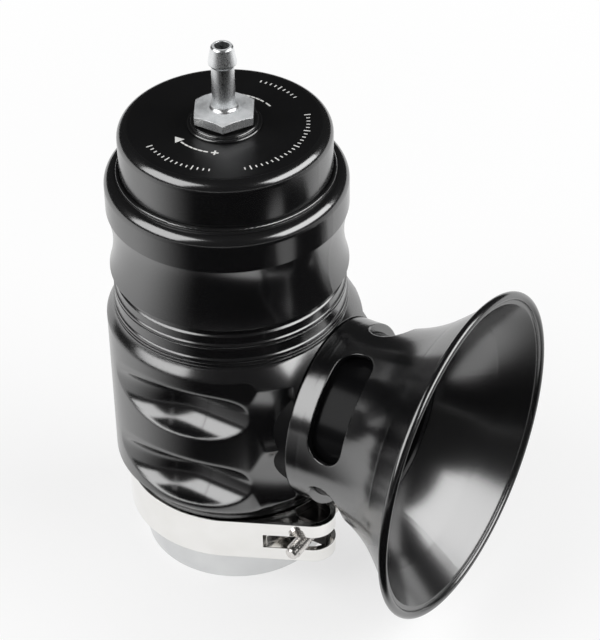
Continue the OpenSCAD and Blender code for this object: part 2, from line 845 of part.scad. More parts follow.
module spring_seat() {
    lug_w = key_w - 2 * key_play;
    color(silver) difference() {
        union() {
            ring(screw_r + slide_gap, hub_r, seat_plate_z - hub_drop, seat_plate_z + plate_h);
            ring(hub_r - over, plate_r, seat_plate_z, seat_plate_z + plate_h);
            for (turn = [0, 180]) rotate([0, 0, turn]) translate([hub_r, -lug_w / 2, seat_plate_z])
                cube([key_r - key_play - hub_r, lug_w, plate_h]);
        }
        for (i = [0 : bleed_count - 1]) rotate([0, 0, (i + 0.5) * 360 / bleed_count])
            translate([bleed_mid_r, 0, seat_plate_z - over]) cylinder(r = bleed_r, h = plate_h + 2 * over);
    }
}

weld_flange();
flange_oring();
clamp_band();
clamp_v_segments();
clamp_barrel_nut();
clamp_plain_barrel();
clamp_bolt();
valve_body();
retaining_collar();
cap();
cap_oring();
adjuster();
adjuster_oring();
thrust_washer();
adjuster_circlip();
barb_fitting();
fitting_seal();
trumpet();
trumpet_oring();
piston();
piston_seat_seal();
piston_seal();
piston_wear_ring();
main_spring();
spring_seat();
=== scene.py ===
# %% [markdown]
# # A blow off valve, dressed for its photograph
# A blow off valve lets the air out of a turbo engine's pipe when the throttle shuts. The solids come from CAD and
# are loaded here as a fixed frame, in metres. This lesson adds what CAD leaves out: the light, the camera, the
# finishes, the screw's thread, a spring cut in two and the printed marks.

# %% Load the valve
import json
import math

import bpy
from mathutils import Matrix, Vector

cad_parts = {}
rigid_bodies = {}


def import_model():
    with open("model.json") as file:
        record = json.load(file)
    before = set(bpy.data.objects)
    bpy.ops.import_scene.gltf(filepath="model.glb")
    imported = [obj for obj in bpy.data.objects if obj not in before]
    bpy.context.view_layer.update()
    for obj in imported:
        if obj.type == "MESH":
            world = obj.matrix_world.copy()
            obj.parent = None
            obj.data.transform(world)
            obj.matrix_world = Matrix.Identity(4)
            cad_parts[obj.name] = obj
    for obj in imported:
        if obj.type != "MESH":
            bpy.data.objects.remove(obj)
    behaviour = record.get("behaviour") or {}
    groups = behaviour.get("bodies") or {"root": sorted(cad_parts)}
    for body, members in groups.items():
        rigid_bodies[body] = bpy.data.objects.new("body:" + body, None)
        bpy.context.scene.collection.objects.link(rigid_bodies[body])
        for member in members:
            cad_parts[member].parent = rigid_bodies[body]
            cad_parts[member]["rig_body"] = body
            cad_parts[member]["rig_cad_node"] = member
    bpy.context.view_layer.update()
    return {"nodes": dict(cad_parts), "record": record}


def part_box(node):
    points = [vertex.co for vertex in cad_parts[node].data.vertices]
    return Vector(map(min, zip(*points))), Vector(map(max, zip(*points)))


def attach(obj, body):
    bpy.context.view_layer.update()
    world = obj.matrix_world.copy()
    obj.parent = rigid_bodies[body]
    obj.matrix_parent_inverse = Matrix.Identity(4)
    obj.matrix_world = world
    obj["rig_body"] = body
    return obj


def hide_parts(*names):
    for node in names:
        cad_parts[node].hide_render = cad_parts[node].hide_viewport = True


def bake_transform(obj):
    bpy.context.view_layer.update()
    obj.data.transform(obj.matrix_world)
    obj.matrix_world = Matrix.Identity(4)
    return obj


MM = 0.001
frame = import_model()
nodes = frame["nodes"]

# %% [markdown]
# ## The camera
# The photograph was taken from above and from the right of the trumpet's near side, with a long lens, so upright
# edges hardly converge. A camera can be placed by eye and nudged until it fits. Here its angles were fitted to
# points whose real places are known, and the lens follows from the picture's height in pixels.

# %% Place the camera
PHOTO_HEIGHT = 640
FOCAL_PIXELS = 2258.0
SENSOR = 36.0
CAMERA_PLACE = (0.2813, -0.4238, 0.4777)
CAMERA_TURN, CAMERA_RISE, CAMERA_ROLL = (math.radians(a) for a in (31.378, 38.390, -0.792))

bpy.ops.object.select_all(action="DESELECT")
bpy.ops.object.camera_add(location=CAMERA_PLACE)
camera = bpy.context.object
camera.name = "photo_camera"
camera.rotation_euler = (
    Matrix.Rotation(CAMERA_TURN, 3, "Z")
    @ Matrix.Rotation(math.pi / 2 - CAMERA_RISE, 3, "X")
    @ Matrix.Rotation(CAMERA_ROLL, 3, "Z")
).to_euler()
camera.data.sensor_fit = "VERTICAL"
camera.data.sensor_height = SENSOR
camera.data.lens = SENSOR * FOCAL_PIXELS / PHOTO_HEIGHT
bpy.context.scene.camera = camera
print("lens in mm:", round(camera.data.lens, 2))

# %% [markdown]
# ## Helpers for finishes
# Colours are written as they look on a screen, as sRGB hex values, and the shaders need linear light, so one
# function turns one into the other. A second one adds a node, sets its options and fills its inputs, with a value
# or with a link from another node's output. That keeps each finish short enough to read at a glance. No real
# surface has one flat colour, so a third one makes a tone that drifts between two, over patches of a real size.


# %% Colour and node helpers
def colour(hex_value):
    channels = [int(hex_value[i : i + 2], 16) / 255 for i in (1, 3, 5)]
    return [c / 12.92 if c <= 0.04045 else ((c + 0.055) / 1.055) ** 2.4 for c in channels] + [1.0]


def add_node(tree, kind, inputs=(), **settings):
    node = tree.nodes.new("ShaderNode" + kind)
    for name, value in settings.items():
        setattr(node, name, value)
    for socket, value in dict(inputs).items():
        if isinstance(value, bpy.types.NodeSocket):
            tree.links.new(value, node.inputs[socket])
        else:
            node.inputs[socket].default_value = value
    return node


def empty_tree(owner):
    owner.use_nodes = True
    owner.node_tree.nodes.clear()
    return owner.node_tree


def mottle(tree, place, size, detail, dark, light, spread=(0.0, 1.0)):
    noise = add_node(tree, "TexNoise", {"Vector": place.outputs["Object"], "Scale": 1 / size, "Detail": detail})
    tone = add_node(tree, "ValToRGB", {0: noise.outputs["Fac"]})
    for stop, position, hex_value in zip(tone.color_ramp.elements, spread, (dark, light)):
        stop.position, stop.color = position, colour(hex_value)
    return noise, tone


print("mid grey in linear light:", round(colour("#808080")[0], 3))

# %% [markdown]
# ## The white floor
# The valve stands on a white studio floor that shows as pure white, with only a soft shadow at its foot. A floor
# that is lit to pure white would need too much light on the valve. So what the camera and the reflections see is
# part lit floor and part plain white, and only white farther away, while the light that the floor sends to the valve
# stays real.

# %% Make the floor
FLOOR_SIZE = 6.0
FLOOR_DROP = 0.1 * MM
FLOOR_WHITE_SHARE = 0.66
SHADE_R, WHITE_R = 0.10, 0.35

bpy.ops.object.select_all(action="DESELECT")
bpy.ops.mesh.primitive_plane_add(size=FLOOR_SIZE, location=(0, 0, -FLOOR_DROP))
floor = bpy.context.object
floor.name = "studio_floor"
floor_paper = bpy.data.materials.new("White background paper")
tree = empty_tree(floor_paper)
rays = add_node(tree, "LightPath")
seen = add_node(tree, "Math", {0: rays.outputs["Is Camera Ray"], 1: rays.outputs["Is Glossy Ray"]}, operation="ADD")
seen = add_node(
    tree, "Math", {0: seen.outputs[0], 1: rays.outputs["Is Transmission Ray"]}, operation="ADD", use_clamp=True
)
place = add_node(tree, "TexCoord")
away = add_node(tree, "VectorMath", {0: place.outputs["Object"]}, operation="LENGTH")
whiter = add_node(tree, "MapRange", {0: away.outputs["Value"], 1: SHADE_R, 2: WHITE_R, 3: FLOOR_WHITE_SHARE, 4: 1.0})
share = add_node(tree, "Math", {0: seen.outputs[0], 1: whiter.outputs[0]}, operation="MULTIPLY")
paper = add_node(tree, "BsdfDiffuse", {"Color": colour("#ffffff")})
white = add_node(tree, "Emission", {"Color": (1, 1, 1, 1), "Strength": 1.0})
both = add_node(tree, "MixShader", {0: share.outputs[0], 1: paper.outputs[0], 2: white.outputs[0]})
add_node(tree, "OutputMaterial", {"Surface": both.outputs[0]})
floor.data.materials.append(floor_paper)
print("floor:", FLOOR_SIZE, "m")

# %% [markdown]
# ## The room and its two soft boxes
# Glossy black shows little colour of its own. What the eye reads is the room in it: one soft box on the left, one
# on the right behind the trumpet, and a dark ceiling. Each box is an area lamp, because an area lamp shows in
# reflections at its true size. The world gives the little light that comes from everywhere else. The dark ceiling is
# a painted reflection: reflections see the world as dark grey, while the same world lights the valve with white.

# %% Light the room
AIM = Vector((0, 0, 0.09))
BOX_DISTANCE = 1.1
ROOM_STRENGTH = 0.3


def soft_box(name, azimuth, elevation, width, height, watts):
    a, e = math.radians(azimuth), math.radians(elevation)
    away = Vector((math.cos(a) * math.cos(e), math.sin(a) * math.cos(e), math.sin(e)))
    bpy.ops.object.light_add(type="AREA", location=AIM + BOX_DISTANCE * away)
    lamp = bpy.context.object
    lamp.name = name
    lamp.rotation_euler = away.to_track_quat("Z", "Y").to_euler()
    lamp.data.shape = "RECTANGLE"
    lamp.data.size, lamp.data.size_y = width, height
    lamp.data.energy = watts


bpy.ops.object.select_all(action="DESELECT")
soft_box("soft_box_left", azimuth=-125, elevation=38, width=0.98, height=0.90, watts=8.6)
soft_box("soft_box_right", azimuth=20, elevation=33, width=1.20, height=0.60, watts=9.6)

world = bpy.data.worlds.new("studio_room")
bpy.context.scene.world = world
tree = empty_tree(world)
rays = add_node(tree, "LightPath")
room = add_node(tree, "Background", {"Color": colour("#ffffff"), "Strength": ROOM_STRENGTH})
# Dark grey seen only by reflections: the painted reflection of a dark ceiling.
ceiling = add_node(tree, "Background", {"Color": colour("#343434"), "Strength": 1.0})
backdrop = add_node(tree, "Background", {"Color": (1, 1, 1, 1), "Strength": 1.0})
mirrored = add_node(tree, "MixShader", {0: rays.outputs["Is Glossy Ray"], 1: room.outputs[0], 2: ceiling.outputs[0]})
shown = add_node(tree, "MixShader", {0: rays.outputs["Is Camera Ray"], 1: mirrored.outputs[0], 2: backdrop.outputs[0]})
add_node(tree, "OutputWorld", {"Surface": shown.outputs[0]})
bpy.context.scene.view_settings.view_transform = "Standard"
print("soft boxes: 2")

# %% [markdown]
# ## A black card in front
# In the photograph the walls that face the camera are nearly black, though the floor that they mirror is white.
# Photographers get this with a black card laid on the floor in front of a shiny object. The card here is a painted
# reflection: it is seen by reflections only, casts no shadow and sends no light, and it paints the dark into those
# walls. Its near edge is an oval round the valve and its trumpet, so that the bright clamp and the bell's rim still
# mirror white floor, and it fades out to its two sides, as the photograph's reflections do.

# %% Lay the black card
CARD_SIZE, CARD_LIFT = 3.0, 0.3 * MM
CARD_START, CARD_FULL = 0.062, 0.078
CARD_SHIFT, CARD_SQUEEZE = -0.0165, 0.75
CARD_MIDDLE = -45.0
CARD_FULL_HALF, CARD_END_HALF = 42.0, 106.0

bpy.ops.object.select_all(action="DESELECT")
bpy.ops.mesh.primitive_plane_add(size=CARD_SIZE, location=(0, 0, CARD_LIFT))
card = bpy.context.object
card.name = "black_card"
reflection_card_paint = bpy.data.materials.new("Black card painted into reflections")
tree = empty_tree(reflection_card_paint)
place = add_node(tree, "TexCoord")
turned = add_node(tree, "Mapping", {"Vector": place.outputs["Object"], "Rotation": (0, 0, math.radians(-CARD_MIDDLE))})
oval = add_node(
    tree,
    "Mapping",
    {"Vector": place.outputs["Object"], "Location": (CARD_SHIFT, 0, 0), "Scale": (CARD_SQUEEZE, 1, 1)},
)
distance = add_node(tree, "VectorMath", {0: oval.outputs[0]}, operation="LENGTH")
ahead = add_node(tree, "SeparateXYZ", {0: turned.outputs[0]})
aside = add_node(tree, "Math", {0: ahead.outputs["Y"]}, operation="ABSOLUTE")
angle = add_node(tree, "Math", {0: aside.outputs[0], 1: ahead.outputs["X"]}, operation="ARCTAN2")
near = add_node(
    tree, "MapRange", {0: distance.outputs["Value"], 1: CARD_START, 2: CARD_FULL}, interpolation_type="SMOOTHSTEP"
)
side = add_node(
    tree,
    "MapRange",
    {0: angle.outputs[0], 1: math.radians(CARD_END_HALF), 2: math.radians(CARD_FULL_HALF)},
    interpolation_type="SMOOTHSTEP",
)
painted_reflection_cover = add_node(tree, "Math", {0: near.outputs[0], 1: side.outputs[0]}, operation="MULTIPLY")
clear = add_node(tree, "BsdfTransparent")
black = add_node(tree, "BsdfDiffuse", {"Color": colour("#0a0a0a")})
# Where this mask is high, the card paints a dark reflection.
both = add_node(tree, "MixShader", {0: painted_reflection_cover.outputs[0], 1: clear.outputs[0], 2: black.outputs[0]})
add_node(tree, "OutputMaterial", {"Surface": both.outputs[0]})
card.data.materials.append(reflection_card_paint)
card.visible_camera = card.visible_diffuse = card.visible_shadow = card.visible_transmission = False
print("card starts at", CARD_START, "m")

# %% [markdown]
# ## Black anodised aluminium
# The body, collar, cap, adjuster and trumpet are turned and milled from aluminium, polished, anodised and dyed
# black. The eye sees a deep black with a clear gloss on it, a faint grain in the gloss, and a thin bright line on
# each edge, because every edge is broken by a small round. The gloss could be a coat over metal. One dielectric
# with the oxide's high index does the same with fewer parts. The Bevel node rounds the normals at the edges, so the
# solids need no extra faces.


# %% Make the black anodised finish
EDGE_BREAK, SCALLOP_ROUND = 0.4 * MM, 1.8 * MM
NECK_FOOT, PORT_EDGE, PORT_Z, NOZZLE_X = 84 * MM, 27 * MM, 57.17 * MM, 38 * MM
DYE_PATCH, OXIDE_GRAIN, OXIDE_IOR = 9 * MM, 0.35 * MM, 2.3
# The second shine darkens the faces across the axis, and the last turns reflections almost off inside the port and the
# trumpet, both as painted shade.
FULL_SHINE, SHADED_TOP_SHINE, PAINTED_SHADE_SHINE = 0.5, 0.1, 0.03
SATIN_ROUGHER = 2.6
NOWHERE = 1.0


def anodised(
    name, roughness, edge_round, port_round=EDGE_BREAK, top_shine=FULL_SHINE, painted_shade_from=NOWHERE, inside=1.0
):
    finish = bpy.data.materials.new(name)
    tree = empty_tree(finish)
    place = add_node(tree, "TexCoord")
    normal = add_node(tree, "NewGeometry")
    # Dye takes unevenly over patches
    _, tone = mottle(tree, place, DYE_PATCH, 3.0, "#0a0a0b", "#111112")
    # Grain of the etched oxide, drawn at a coarser size because its real one is too fine to show
    grain = add_node(tree, "TexNoise", {"Vector": place.outputs["Object"], "Scale": 1 / OXIDE_GRAIN, "Detail": 2.0})
    gloss = add_node(
        tree, "MapRange", {0: grain.outputs["Fac"], 1: 0.3, 2: 0.7, 3: roughness * 0.94, 4: roughness * 1.08}
    )
    # A surface that looks at the trumpet's axis is rougher by the factor inside
    out = add_node(
        tree, "Mapping", {"Vector": place.outputs["Object"], "Location": (0, 0, -PORT_Z), "Scale": (0, 1, 1)}
    )
    facing = add_node(tree, "VectorMath", {0: out.outputs[0], 1: normal.outputs["Normal"]}, operation="DOT_PRODUCT")
    bell = add_node(tree, "MapRange", {0: facing.outputs["Value"], 1: -2 * MM, 2: 2 * MM, 3: inside, 4: 1.0})
    gloss = add_node(tree, "Math", {0: gloss.outputs[0], 1: bell.outputs[0]}, operation="MULTIPLY")
    # Hand polishing stops at the neck and at the port, where the lathe's crisp edges are left
    spot = add_node(tree, "SeparateXYZ", {0: place.outputs["Object"]})
    low = add_node(
        tree, "MapRange", {0: spot.outputs["Z"], 1: NECK_FOOT, 2: NECK_FOOT + 1 * MM, 3: edge_round, 4: EDGE_BREAK}
    )
    rounding = add_node(
        tree, "MapRange", {0: spot.outputs["X"], 1: PORT_EDGE, 2: PORT_EDGE + 3 * MM, 3: low.outputs[0], 4: port_round}
    )
    edge = add_node(tree, "Bevel", {"Radius": rounding.outputs[0]}, samples=8)
    # Faces across the axis are rougher and reflect less by top_shine, painted shade on the tops; past a given x
    # reflections are nearly off, painted shade in the port
    up = add_node(tree, "SeparateXYZ", {0: normal.outputs["Normal"]})
    top = add_node(tree, "MapRange", {0: up.outputs["Z"], 1: 0.97, 2: 0.995, 3: FULL_SHINE, 4: top_shine})
    satin = add_node(tree, "MapRange", {0: top.outputs[0], 1: SHADED_TOP_SHINE, 2: FULL_SHINE, 3: SATIN_ROUGHER, 4: 1.0})
    gloss = add_node(tree, "Math", {0: gloss.outputs[0], 1: satin.outputs[0]}, operation="MULTIPLY")
    shine = add_node(
        tree,
        "MapRange",
        {0: spot.outputs["X"], 1: painted_shade_from, 2: painted_shade_from + 1 * MM, 3: top.outputs[0], 4: PAINTED_SHADE_SHINE},
    )
    bump = add_node(
        tree,
        "Bump",
        {"Height": grain.outputs["Fac"], "Strength": 0.06, "Distance": 0.01 * MM, "Normal": edge.outputs[0]},
    )
    shader = add_node(
        tree,
        "BsdfPrincipled",
        {
            "Base Color": tone.outputs[0],
            "Roughness": gloss.outputs[0],
            "IOR": OXIDE_IOR,
            "Specular IOR Level": shine.outputs[0],
            "Normal": bump.outputs[0],
        },
    )
    add_node(tree, "OutputMaterial", {"Surface": shader.outputs[0]})
    return finish


# The turned parts' top faces are rougher and reflect less, as painted shade.
black_turned = anodised("Black anodised aluminium turned", 0.17, EDGE_BREAK, top_shine=SHADED_TOP_SHINE)
# The milled body's nozzle inside the trumpet has its reflections nearly off, as painted shade.
black_milled = anodised("Black anodised aluminium milled", 0.18, SCALLOP_ROUND, painted_shade_from=NOZZLE_X)
black_spun = anodised("Black anodised aluminium spun", 0.17, EDGE_BREAK, port_round=0.7 * MM, inside=1.2)
# The port's wall ring is rough, and its reflections are nearly off as painted shade inside the port.
black_unpolished_painted_shade = anodised("Black anodised aluminium unpolished with painted shade", 0.4, EDGE_BREAK, painted_shade_from=0.0)
print("black finishes: 4")

# %% [markdown]
# ## Bright metals
# The bare metals come next. The clamp is stainless strip, buffed to a mirror. The weld flange is aluminium straight
# from the lathe, with fine rings left by the tool. The hose fitting and the clamp's screw are zinc plated, a little
# milky and mottled. The half-barrels in the clamp are zinc plated steel painted dark grey, as shade for their deep
# holes. The spring is drawn wire. All are full metals, so they differ in colour, roughness and the marks on them, and
# one function with those as its values makes them all.


# %% Make the bright metals
def bright_metal(
    name, light, dark, roughness, patch, mark, mark_depth, stretch=(1, 1, 1), faced=1.0, edge_round=0.3 * MM
):
    finish = bpy.data.materials.new(name)
    tree = empty_tree(finish)
    place = add_node(tree, "TexCoord")
    _, tone = mottle(tree, place, patch, 3.0, dark, light, spread=(0.3, 0.7))
    along = add_node(tree, "Mapping", {"Vector": place.outputs["Object"], "Scale": stretch})
    lines = add_node(tree, "TexNoise", {"Vector": along.outputs[0], "Scale": 1 / mark, "Detail": 2.0})
    gloss = add_node(
        tree, "MapRange", {0: lines.outputs["Fac"], 1: 0.3, 2: 0.7, 3: roughness * 0.8, 4: roughness * 1.25}
    )
    # A face that was cut across the axis is rougher by the factor faced
    facing = add_node(tree, "SeparateXYZ", {0: add_node(tree, "NewGeometry").outputs["Normal"]})
    rougher = add_node(tree, "MapRange", {0: facing.outputs["Z"], 1: 0.8, 2: 0.95, 3: 1.0, 4: faced})
    gloss = add_node(tree, "Math", {0: gloss.outputs[0], 1: rougher.outputs[0]}, operation="MULTIPLY")
    edge = add_node(tree, "Bevel", {"Radius": edge_round}, samples=8)
    bump = add_node(
        tree,
        "Bump",
        {"Height": lines.outputs["Fac"], "Strength": 0.3, "Distance": mark_depth, "Normal": edge.outputs[0]},
    )
    shader = add_node(
        tree,
        "BsdfPrincipled",
        {"Base Color": tone.outputs[0], "Metallic": 1.0, "Roughness": gloss.outputs[0], "Normal": bump.outputs[0]},
    )
    add_node(tree, "OutputMaterial", {"Surface": shader.outputs[0]})
    return finish


# Lines run round the band and round the lathe's axis, so the noise is squeezed along X and Y and keeps its width in Z
ROUND_LINES = (0.02, 0.02, 1)
stainless = bright_metal(
    "Buffed stainless steel strip", "#f6f5f3", "#efeeeb", 0.09, 12 * MM, 0.5 * MM, 0.004 * MM, ROUND_LINES
)
aluminium = bright_metal(
    "Turned aluminium", "#dcdddd", "#d2d3d4", 0.16, 10 * MM, 0.3 * MM, 0.010 * MM, ROUND_LINES
)
zinc = bright_metal("Zinc plated steel", "#f2f3f4", "#e4e6e7", 0.30, 2.5 * MM, 0.4 * MM, 0.004 * MM, faced=2.8)
zinc_thread = bright_metal(
    "Zinc plated steel thread", "#e6e3e0", "#d2cfcc", 0.25, 2.5 * MM, 0.4 * MM, 0.004 * MM, edge_round=0.03 * MM
)
# Dark grey zinc: painted shade for the half-barrels' deep holes.
zinc_painted_dark = bright_metal("Zinc plated steel painted dark as shade", "#3c3a3a", "#2c2a2a", 0.35, 2.5 * MM, 0.4 * MM, 0.004 * MM)
wire = bright_metal("Drawn spring steel wire", "#6c6d70", "#55565a", 0.32, 4 * MM, 0.3 * MM, 0.006 * MM)
print("metals: 6")

# %% [markdown]
# ## Rubber and PTFE
# The seals are black nitrile rubber, dull with a fine moulded skin. The piston's guide ring and the thrust washer
# are PTFE, a waxy off-white plastic. Both are plain dielectrics with a soft grain, so one function makes both.


# %% Make the soft finishes
def moulded(name, light, dark, roughness, grain_size, ior):
    finish = bpy.data.materials.new(name)
    tree = empty_tree(finish)
    place = add_node(tree, "TexCoord")
    grain, tone = mottle(tree, place, grain_size, 4.0, dark, light)
    bump = add_node(tree, "Bump", {"Height": grain.outputs["Fac"], "Strength": 0.4, "Distance": 0.02 * MM})
    shader = add_node(
        tree,
        "BsdfPrincipled",
        {"Base Color": tone.outputs[0], "Roughness": roughness, "IOR": ior, "Normal": bump.outputs[0]},
    )
    add_node(tree, "OutputMaterial", {"Surface": shader.outputs[0]})
    return finish


nitrile = moulded("Nitrile rubber", "#161616", "#0d0d0d", 0.7, 0.5 * MM, 1.52)
ptfe = moulded("PTFE", "#efe9da", "#e2dac6", 0.5, 0.8 * MM, 1.35)
print("soft finishes: 2")

# %% [markdown]
# ## Give each solid its finish
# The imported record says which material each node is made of. A table from those names to the finishes dresses all
# of them in one loop, so a new solid gets its finish by itself. The milled body takes the softer edge, because the
# ball cutter's scallops were polished by hand.

# %% Dress the solids
finish_of = {
    "black_anodised": black_turned,
    "satin_aluminium": aluminium,
    "polished_stainless": stainless,
    "zinc_steel": zinc,
    "spring_steel": wire,
    "rubber": nitrile,
    "ptfe": ptfe,
}
for part in frame["record"]["subparts"]:
    solid = nodes[part["node"]]
    solid.data.materials.clear()
    solid.data.materials.append(finish_of[part["material_slot"]])
nodes["valve_body"].data.materials[0] = black_milled
nodes["trumpet"].data.materials[0] = black_spun
# The half-barrels take the dark zinc, painted shade for their deep holes.
for name in ("clamp_barrel_nut", "clamp_plain_barrel"):
    nodes[name].data.materials[0] = zinc_painted_dark

# %% [markdown]
# ## The clamp's screw
# A socket-head screw pulls the clamp's two eyes together, and its threaded end stands out under the trumpet. In CAD
# it is a plain rod. Here the thread is modelled as it is cut: one tooth's section is swept along a helix with the
# Screw modifier. The rod and the head are cylinders with bevelled ends, and a six-sided cutter makes the socket.

# %% Measure the screw
low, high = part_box("clamp_bolt")
screw_x, screw_z = (low[0] + high[0]) / 2, (low[2] + high[2]) / 2
screw_head_r = (high[0] - low[0]) / 2
SCREW_HEAD_H = 5 * MM
THREAD_R, THREAD_ROOT_R, THREAD_PITCH = 2.25 * MM, 1.85 * MM, 0.8 * MM
TIP_INSET, TIP_RISE, HEAD_BEVEL = 0.5 * MM, 0.4 * MM, 0.5 * MM
shank_l = high[1] - low[1] - SCREW_HEAD_H
print("shank in mm:", round(shank_l / MM, 1), "head radius in mm:", round(screw_head_r / MM, 2))


# %% Helpers for modelling by hand
def start_piece():
    if bpy.context.object and bpy.context.object.mode != "OBJECT":
        bpy.ops.object.mode_set(mode="OBJECT")
    bpy.ops.object.select_all(action="DESELECT")


def select_faces(piece, wanted):
    bpy.ops.object.mode_set(mode="EDIT")
    bpy.ops.mesh.select_mode(type="FACE")
    bpy.ops.mesh.select_all(action="DESELECT")
    bpy.ops.object.mode_set(mode="OBJECT")
    for face in piece.data.polygons:
        face.select = wanted(face)
    bpy.ops.object.mode_set(mode="EDIT")


def apply_all(piece):
    bpy.ops.object.mode_set(mode="OBJECT")
    bpy.context.view_layer.objects.active = piece
    for modifier in list(piece.modifiers):
        bpy.ops.object.modifier_apply(modifier=modifier.name)


SMOOTH_ANGLE = math.radians(35)
print("helpers ready")

# %% Turn the rod and the head
start_piece()
bpy.ops.mesh.primitive_cylinder_add(
    vertices=48, radius=THREAD_ROOT_R, depth=shank_l, end_fill_type="NGON", location=(0, 0, shank_l / 2)
)
screw = bpy.context.object
screw.name = "clamp_screw"
bpy.ops.object.transform_apply(location=True)
select_faces(screw, lambda face: face.normal.z > 0.9)
bpy.ops.mesh.inset(thickness=TIP_INSET)
bpy.ops.transform.translate(value=(0, 0, TIP_RISE))
select_faces(screw, lambda face: face.normal.z < -0.9)
bpy.ops.mesh.extrude_region_move()
head_scale = screw_head_r / THREAD_ROOT_R
bpy.ops.transform.resize(value=(head_scale, head_scale, 1), center_override=(0, 0, 0))
bpy.ops.mesh.extrude_region_move(TRANSFORM_OT_translate={"value": (0, 0, -SCREW_HEAD_H)})
bpy.ops.mesh.bevel(offset=HEAD_BEVEL, segments=3, affect="EDGES")
bpy.ops.object.mode_set(mode="OBJECT")
print("rod and head:", len(screw.data.polygons), "faces")

# %% Cut the six-sided socket
SOCKET_R, SOCKET_DEPTH = 2.3 * MM, 2.5 * MM
start_piece()
bpy.ops.mesh.primitive_cylinder_add(
    vertices=6, radius=SOCKET_R, depth=2 * SOCKET_DEPTH, location=(0, 0, -SCREW_HEAD_H)
)
cutter = bpy.context.object
start_piece()
screw.select_set(True)
bpy.context.view_layer.objects.active = screw
socket = screw.modifiers.new("Socket", "BOOLEAN")
socket.operation, socket.object, socket.solver = "DIFFERENCE", cutter, "EXACT"
apply_all(screw)
bpy.data.objects.remove(cutter)
print("with socket:", len(screw.data.polygons), "faces")

# %% Sweep the thread
THREAD_START, THREAD_END = 6 * MM, 0.6 * MM
TOOTH_R, TURN_STEPS = 0.45 * MM, 32
thread_turns = int((shank_l - THREAD_START - THREAD_END) / THREAD_PITCH)
start_piece()
bpy.ops.mesh.primitive_circle_add(
    vertices=3,
    radius=TOOTH_R,
    fill_type="NOTHING",
    location=(THREAD_R - TOOTH_R, 0, THREAD_START),
    rotation=(math.pi / 2, math.pi / 2, 0),
)
thread = bpy.context.object
bpy.ops.object.transform_apply(location=True, rotation=True)
sweep = thread.modifiers.new("Helix", "SCREW")
sweep.axis, sweep.angle, sweep.screw_offset = "Z", 2 * math.pi, THREAD_PITCH
sweep.iterations, sweep.steps, sweep.render_steps = thread_turns, TURN_STEPS, TURN_STEPS
sweep.use_merge_vertices = True
apply_all(thread)
bpy.ops.object.mode_set(mode="EDIT")
bpy.ops.mesh.select_all(action="SELECT")
bpy.ops.mesh.fill_holes(sides=3)
bpy.ops.mesh.select_all(action="SELECT")
bpy.ops.mesh.normals_make_consistent(inside=False)
bpy.ops.object.mode_set(mode="OBJECT")
print("thread turns:", thread_turns, "faces:", len(thread.data.polygons))

# %% Join the screw and put it in the clamp
start_piece()
thread.select_set(True)
screw.select_set(True)
bpy.context.view_layer.objects.active = screw
bpy.ops.object.join()
screw.rotation_euler = (math.pi / 2, 0, 0)
screw.location = (screw_x, high[1] - SCREW_HEAD_H, screw_z)
bpy.ops.object.transform_apply(location=True, rotation=True)
bpy.ops.object.shade_smooth_by_angle(angle=SMOOTH_ANGLE)
screw.data.materials.append(zinc_thread)
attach(screw, "valve")
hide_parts("clamp_bolt")
print("screw box in mm:", [round(v / MM, 1) for v in screw.dimensions])

# %% [markdown]
# ## The wall of the port
# The body's milled cuts run out into the wall of its round port, just before the trumpet. A ring that is a hair
# thinner than that wall lies in it and closes the port all round: a short open cylinder, made thick by Solidify.

# %% Close the wall of the port
PORT_R, NOZZLE_R, WALL_HAIR = 22 * MM, 24.4 * MM, 0.05 * MM
RING_START, RING_END = 28 * MM, 35 * MM
start_piece()
bpy.ops.mesh.primitive_cylinder_add(
    vertices=128,
    radius=NOZZLE_R - WALL_HAIR,
    depth=RING_END - RING_START,
    end_fill_type="NOTHING",
    location=((RING_START + RING_END) / 2, 0, PORT_Z),
    rotation=(0, math.pi / 2, 0),
)
port_wall = bpy.context.object
port_wall.name = "port_wall"
bpy.ops.object.transform_apply(location=True, rotation=True)
wall = port_wall.modifiers.new("Wall", "SOLIDIFY")
wall.thickness, wall.offset = NOZZLE_R - PORT_R - 2 * WALL_HAIR, -1
apply_all(port_wall)
bpy.ops.object.shade_smooth_by_angle(angle=SMOOTH_ANGLE)
# Its finish keeps reflections nearly off, as painted shade inside the port.
port_wall.data.materials.append(black_unpolished_painted_shade)
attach(port_wall, "valve")
print("port wall faces:", len(port_wall.data.polygons))

# %% [markdown]
# ## The main spring
# The spring stands between the piston and the spring seat, and it shortens when either of them moves. A blend works
# across one joint only. So a copy of the spring is cut in two, in the ratio of the two travels: a lower part for the
# piston's travel and an upper part for the seat's.

# %% Cut the spring in two
spring_low, spring_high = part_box("main_spring")
PISTON_LIFT, SEAT_TRAVEL = 18 * MM, 10 * MM
MERGE_GAP, WIRE_SMOOTH_ANGLE = 0.001 * MM, math.radians(50)
spring_cut = spring_low.z + (spring_high.z - spring_low.z) * PISTON_LIFT / (PISTON_LIFT + SEAT_TRAVEL)


def spring_part(name, upper):
    start_piece()
    nodes["main_spring"].select_set(True)
    bpy.context.view_layer.objects.active = nodes["main_spring"]
    bpy.ops.object.duplicate()
    part = bpy.context.object
    part.name = name
    bpy.ops.object.parent_clear(type="CLEAR_KEEP_TRANSFORM")
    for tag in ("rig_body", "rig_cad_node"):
        del part[tag]
    bpy.ops.object.mode_set(mode="EDIT")
    bpy.ops.mesh.select_all(action="SELECT")
    bpy.ops.mesh.remove_doubles(threshold=MERGE_GAP)
    bpy.ops.mesh.bisect(
        plane_co=(0, 0, spring_cut), plane_no=(0, 0, 1), use_fill=True, clear_inner=upper, clear_outer=not upper
    )
    bpy.ops.object.mode_set(mode="OBJECT")
    bpy.ops.object.shade_smooth_by_angle(angle=WIRE_SMOOTH_ANGLE)
    return part


